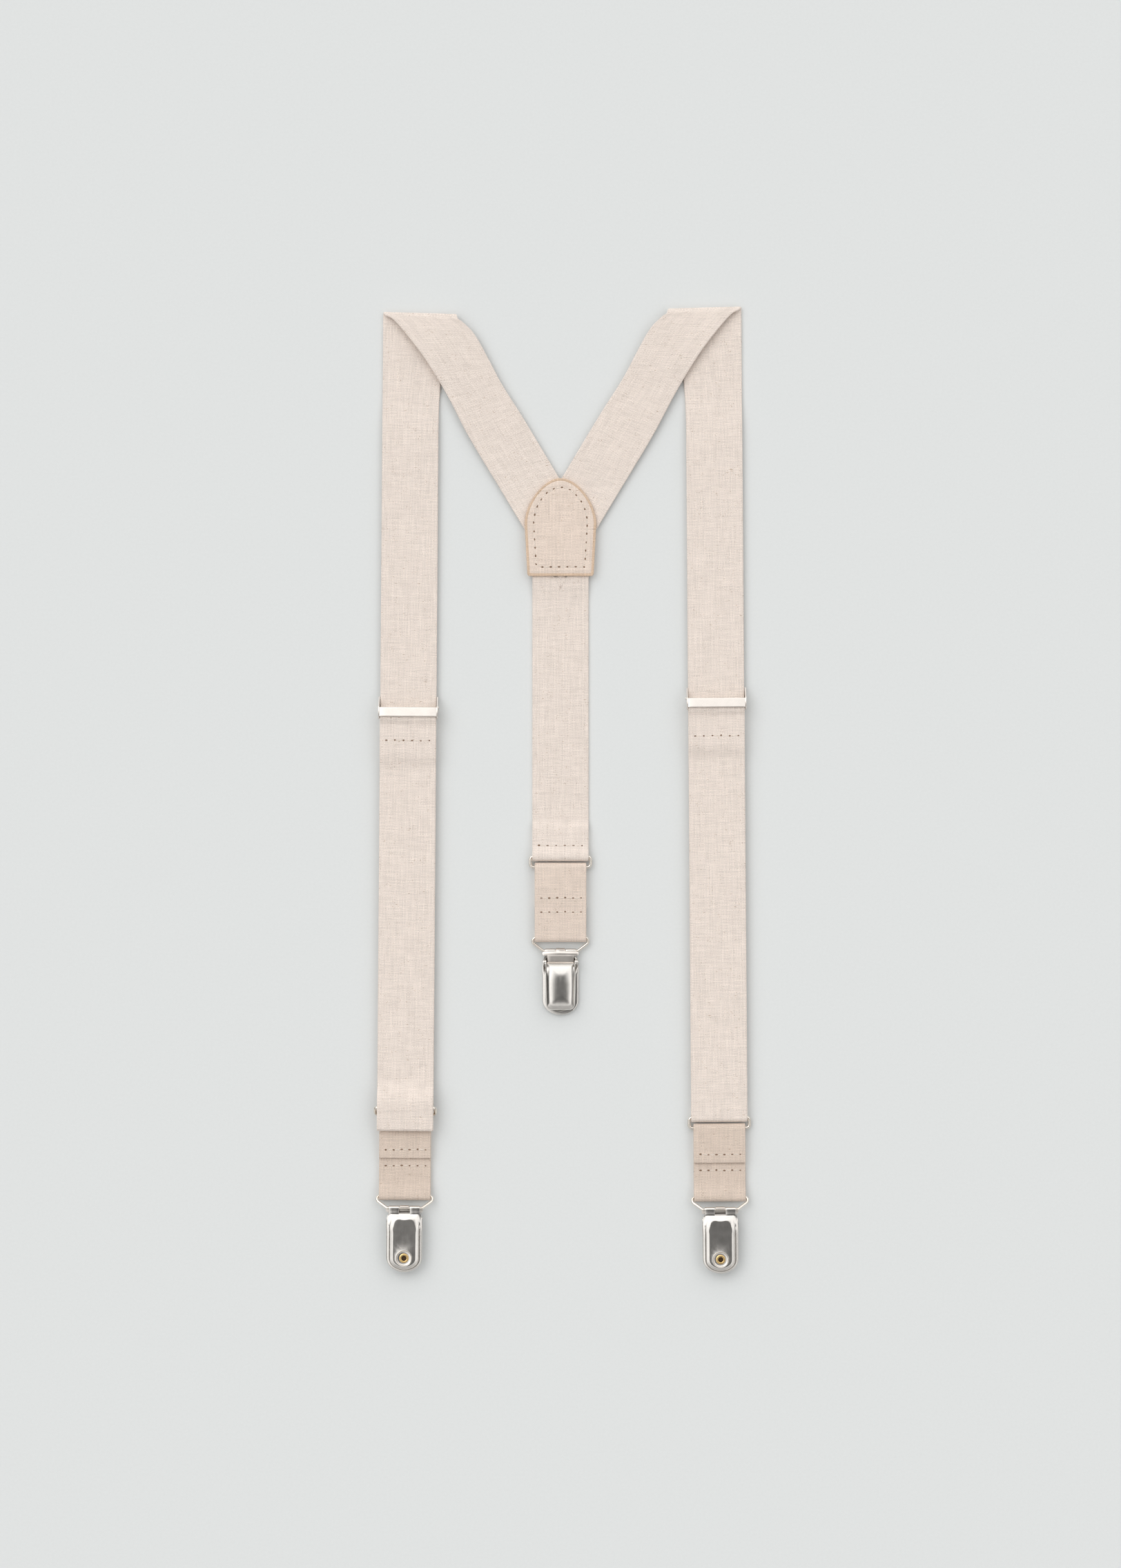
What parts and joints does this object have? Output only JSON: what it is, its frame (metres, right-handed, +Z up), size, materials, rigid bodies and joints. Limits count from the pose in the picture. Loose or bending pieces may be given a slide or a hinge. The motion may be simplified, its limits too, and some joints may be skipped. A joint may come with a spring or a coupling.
{
  "type": "clip suspenders",
  "caption": "Y-back clip suspenders laid flat: elastic webbing straps, stitched back patch, sliding adjusters, and metal clips hung from wire rings.",
  "frame": {"origin": "on the table under the middle of the laid-out suspenders", "axes": "+X to the right across the legs, +Y up towards the shoulders, +Z up from the table"},
  "size_m": [0.1665, 0.4266, 0.0074],
  "materials": {
    "linen_webbing": "natural linen and elastic webbing, plain weave with fine ribs and darker flecks",
    "linen_tab": "natural linen webbing, slightly darker",
    "linen_patch": "stitched linen patch with a turned and sealed edge",
    "nickel": "bright nickel plate",
    "ring_metal": "pale nickel plated wire",
    "eyelet_brass": "brass",
    "grip_plastic": "milky moulded plastic"
  },
  "bodies": {
    "harness": {"back_strap": "linen_webbing", "patch_inner": "linen_patch", "patch_outer": "linen_patch", "left_shoulder_strap": "linen_webbing", "right_shoulder_strap": "linen_webbing", "left_front_strap": "linen_webbing", "right_front_strap": "linen_webbing", "left_front_strap_lower": "linen_webbing", "right_front_strap_lower": "linen_webbing"},
    "left_bight": {"left_ring_bight": "linen_webbing", "left_return_strap": "linen_webbing"},
    "left_adjuster": {"left_adjuster_frame": "nickel", "left_sewn_end": "linen_webbing"},
    "left_cam": {"left_adjuster_lever": "nickel"},
    "left_ring": {"left_ring": "ring_metal"},
    "left_tab": {"left_tab": "linen_tab"},
    "left_bail": {"left_bail": "nickel"},
    "left_clip": {"left_clip_base": "nickel", "left_grip_pad": "grip_plastic", "left_eyelet": "eyelet_brass"},
    "left_cover": {"left_clip_cover": "nickel"},
    "left_jaw": {"left_clip_jaw": "nickel"},
    "right_bight": {"right_ring_bight": "linen_webbing", "right_return_strap": "linen_webbing"},
    "right_adjuster": {"right_adjuster_frame": "nickel", "right_sewn_end": "linen_webbing"},
    "right_cam": {"right_adjuster_lever": "nickel"},
    "right_ring": {"right_ring": "ring_metal"},
    "right_tab": {"right_tab": "linen_tab"},
    "right_bail": {"right_bail": "nickel"},
    "right_clip": {"right_clip_base": "nickel", "right_grip_pad": "grip_plastic", "right_eyelet": "eyelet_brass"},
    "right_cover": {"right_clip_cover": "nickel"},
    "right_jaw": {"right_clip_jaw": "nickel"},
    "back_ring": {"back_ring": "ring_metal"},
    "back_tab": {"back_tab": "linen_tab"},
    "back_bail": {"back_bail": "nickel"},
    "back_clip": {"back_clip_base": "nickel", "back_grip_pad": "grip_plastic", "back_eyelet": "eyelet_brass"},
    "back_cover": {"back_clip_cover": "nickel"},
    "back_jaw": {"back_clip_jaw": "nickel"}
  },
  "joints": [
    {"name": "left_length", "type": "slide", "parent": "harness", "child": "left_bight", "axis": [0.0073, 1, 0], "range_m": [-0.09, 0.052], "deforming": ["left_front_strap_lower", "left_ring_bight"]},
    {"name": "left_adjuster_travel", "type": "slide", "parent": "left_bight", "child": "left_adjuster", "axis": [0.0073, 1, 0], "range_m": [-0.09, 0.052], "deforming": ["left_return_strap"]},
    {"name": "left_cam_lever", "type": "hinge", "parent": "left_adjuster", "child": "left_cam", "pos_m": [-0.06793, 0.0363, 0.0008], "axis": [1, -0.0073, 0], "range_deg": [0, 100]},
    {"name": "left_ring_swing", "type": "hinge", "parent": "left_bight", "child": "left_ring", "pos_m": [-0.06923, -0.14007, 0.00525], "axis": [-1, 0.0073, 0], "range_deg": [-80, 0]},
    {"name": "left_tab_swing", "type": "hinge", "parent": "left_ring", "child": "left_tab", "pos_m": [-0.06925, -0.14332, 0.002], "axis": [1, -0.0073, 0], "range_deg": [-3, 80]},
    {"name": "left_bail_swing", "type": "hinge", "parent": "left_tab", "child": "left_bail", "pos_m": [-0.06951, -0.17919, 0.002], "axis": [-1, 0.0073, 0], "range_deg": [-75, 75]},
    {"name": "left_clip_swing", "type": "hinge", "parent": "left_bail", "child": "left_clip", "pos_m": [-0.06955, -0.18439, 0.0048], "axis": [1, -0.0073, 0], "range_deg": [-80, 45]},
    {"name": "left_cover_lever", "type": "hinge", "parent": "left_clip", "child": "left_cover", "pos_m": [-0.06959, -0.18919, 0.0021], "axis": [1, -0.0073, 0], "range_deg": [0, 95]},
    {"name": "left_jaw_release", "type": "hinge", "parent": "left_clip", "child": "left_jaw", "pos_m": [-0.06955, -0.18439, 0.0048], "axis": [1, -0.0073, 0], "range_deg": [0, 9.5]},
    {"name": "right_length", "type": "slide", "parent": "harness", "child": "right_bight", "axis": [-0.0073, 1, 0], "range_m": [-0.09, 0.052], "deforming": ["right_front_strap_lower", "right_ring_bight"]},
    {"name": "right_adjuster_travel", "type": "slide", "parent": "right_bight", "child": "right_adjuster", "axis": [-0.0073, 1, 0], "range_m": [-0.09, 0.052], "deforming": ["right_return_strap"]},
    {"name": "right_cam_lever", "type": "hinge", "parent": "right_adjuster", "child": "right_cam", "pos_m": [0.0679, 0.0404, 0.0008], "axis": [1, 0.0073, 0], "range_deg": [0, 100]},
    {"name": "right_ring_swing", "type": "hinge", "parent": "right_bight", "child": "right_ring", "pos_m": [0.06926, -0.1447, 0.002], "axis": [-1, -0.0073, 0], "range_deg": [-80, 80]},
    {"name": "right_tab_swing", "type": "hinge", "parent": "right_ring", "child": "right_tab", "pos_m": [0.06929, -0.1493, 0.002], "axis": [1, 0.0073, 0], "range_deg": [-80, 80]},
    {"name": "right_bail_swing", "type": "hinge", "parent": "right_tab", "child": "right_bail", "pos_m": [0.06952, -0.1798, 0.002], "axis": [-1, -0.0073, 0], "range_deg": [-75, 75]},
    {"name": "right_clip_swing", "type": "hinge", "parent": "right_bail", "child": "right_clip", "pos_m": [0.06956, -0.18499, 0.0048], "axis": [1, 0.0073, 0], "range_deg": [-80, 45]},
    {"name": "right_cover_lever", "type": "hinge", "parent": "right_clip", "child": "right_cover", "pos_m": [0.06959, -0.18979, 0.0021], "axis": [1, 0.0073, 0], "range_deg": [0, 95]},
    {"name": "right_jaw_release", "type": "hinge", "parent": "right_clip", "child": "right_jaw", "pos_m": [0.06956, -0.18499, 0.0048], "axis": [1, 0.0073, 0], "range_deg": [0, 9.5]},
    {"name": "back_ring_swing", "type": "hinge", "parent": "harness", "child": "back_ring", "pos_m": [-0.0008, -0.0296, 0.002], "axis": [-1, 0, 0], "range_deg": [-80, 80]},
    {"name": "back_tab_swing", "type": "hinge", "parent": "back_ring", "child": "back_tab", "pos_m": [-0.0008, -0.0342, 0.002], "axis": [1, 0, 0], "range_deg": [-80, 80]},
    {"name": "back_bail_swing", "type": "hinge", "parent": "back_tab", "child": "back_bail", "pos_m": [-0.0008, -0.0653, 0.002], "axis": [-1, 0, 0], "range_deg": [-75, 75]},
    {"name": "back_clip_swing", "type": "hinge", "parent": "back_bail", "child": "back_clip", "pos_m": [-0.0008, -0.0712, 0.0019], "axis": [1, 0, 0], "range_deg": [-60, 80]},
    {"name": "back_cover_lever", "type": "hinge", "parent": "back_clip", "child": "back_cover", "pos_m": [-0.0008, -0.076, 0.0046], "axis": [-1, 0, 0], "range_deg": [0, 95]},
    {"name": "back_jaw_release", "type": "hinge", "parent": "back_clip", "child": "back_jaw", "pos_m": [-0.0008, -0.0712, 0.0019], "axis": [-1, 0, 0], "range_deg": [0, 9.5]}
  ],
  "couplings": [
    {"joint": "left_adjuster_travel", "follows": "left_length", "ratio": 1},
    {"joint": "left_jaw_release", "follows": "left_cover_lever", "ratio": 0.1},
    {"joint": "right_adjuster_travel", "follows": "right_length", "ratio": 1},
    {"joint": "right_jaw_release", "follows": "right_cover_lever", "ratio": 0.1},
    {"joint": "back_jaw_release", "follows": "back_cover_lever", "ratio": 0.1}
  ]
}
